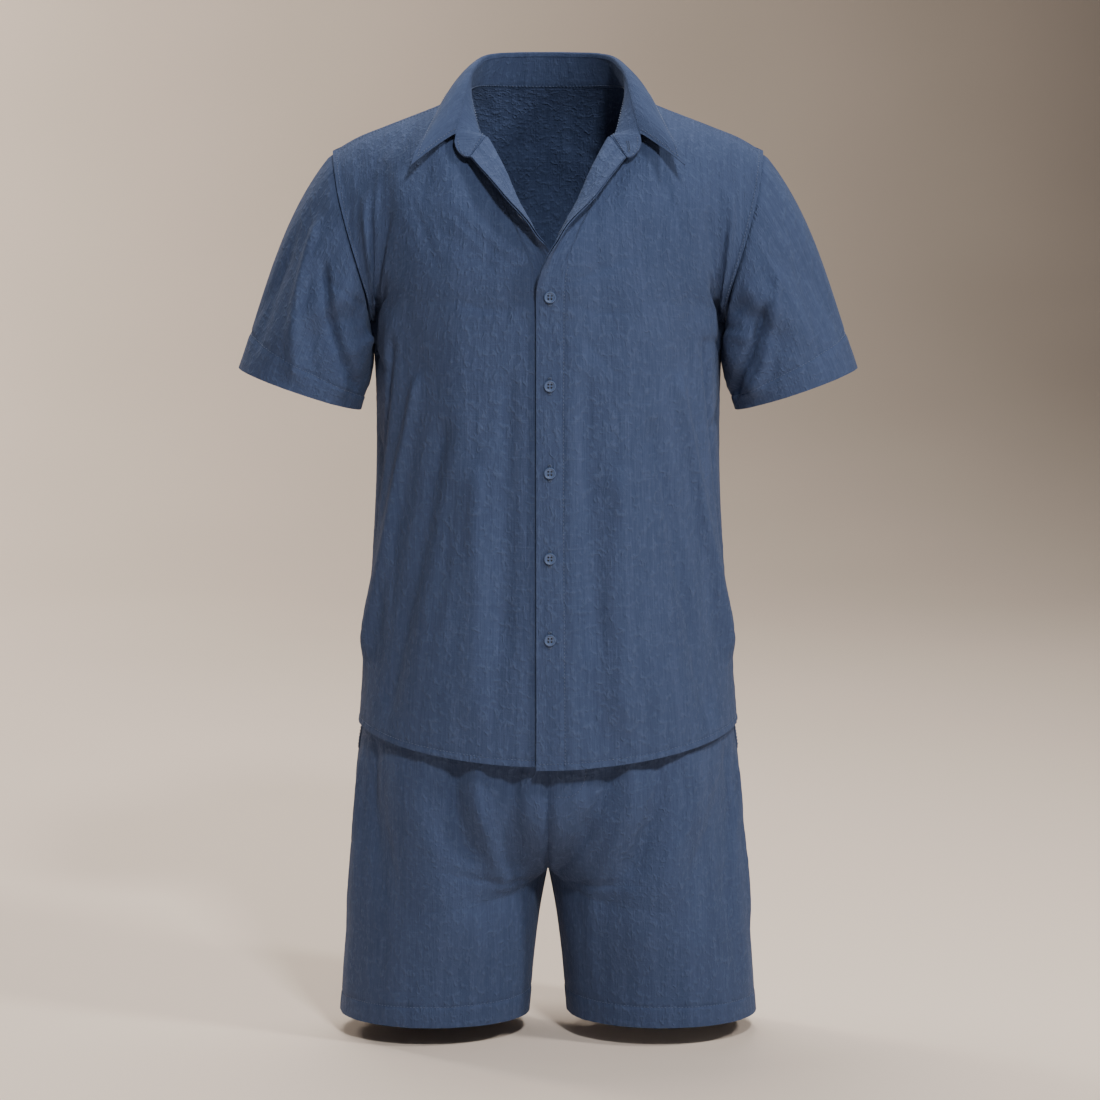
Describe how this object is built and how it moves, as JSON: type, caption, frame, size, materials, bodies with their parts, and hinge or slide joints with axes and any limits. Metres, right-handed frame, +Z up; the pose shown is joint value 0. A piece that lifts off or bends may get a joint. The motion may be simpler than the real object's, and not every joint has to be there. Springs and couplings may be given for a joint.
{
  "type": "shirt and shorts set",
  "caption": "Short-sleeved button shirt, its collar worn open, hanging over plain elastic-waist shorts; hollow, in worn form.",
  "frame": {"origin": "middle of the neck hole at the height where the shoulder seams leave the collar, where the wearer's shoulders carry the shirt", "axes": "+Z up, the fronts and the buttons face -Y, +X towards the wearer's left side"},
  "size_m": [0.6478, 0.2859, 1.01],
  "materials": {
    "blue_linen": "matte slub linen, softly crinkled",
    "blue_linen_interlined": "the same linen, flatter over an interlining",
    "blue_button": "satin, with a raised rim and four holes"
  },
  "bodies": {
    "root": {"shirt_back": "blue_linen", "shirt_front_left": "blue_linen", "shirt_front_right": "blue_linen", "shirt_facing_left": "blue_linen", "shirt_facing_right": "blue_linen", "shirt_sleeve_left": "blue_linen", "shirt_sleeve_right": "blue_linen", "shorts_back_left": "blue_linen", "shorts_back_right": "blue_linen", "shorts_front_left": "blue_linen", "shorts_front_right": "blue_linen", "shorts_waistband": "blue_linen", "shorts_fly_facing": "blue_linen", "shorts_pocket_edge_left": "blue_linen", "shorts_pocket_edge_right": "blue_linen", "shirt_collar_stand": "blue_linen_interlined", "shirt_collar_leaf": "blue_linen_interlined", "shirt_button_1": "blue_button", "shirt_button_2": "blue_button", "shirt_button_3": "blue_button", "shirt_button_4": "blue_button", "shirt_button_5": "blue_button", "shirt_button_collar": "blue_button", "shirt_button_open": "blue_button"}
  },
  "joints": []
}
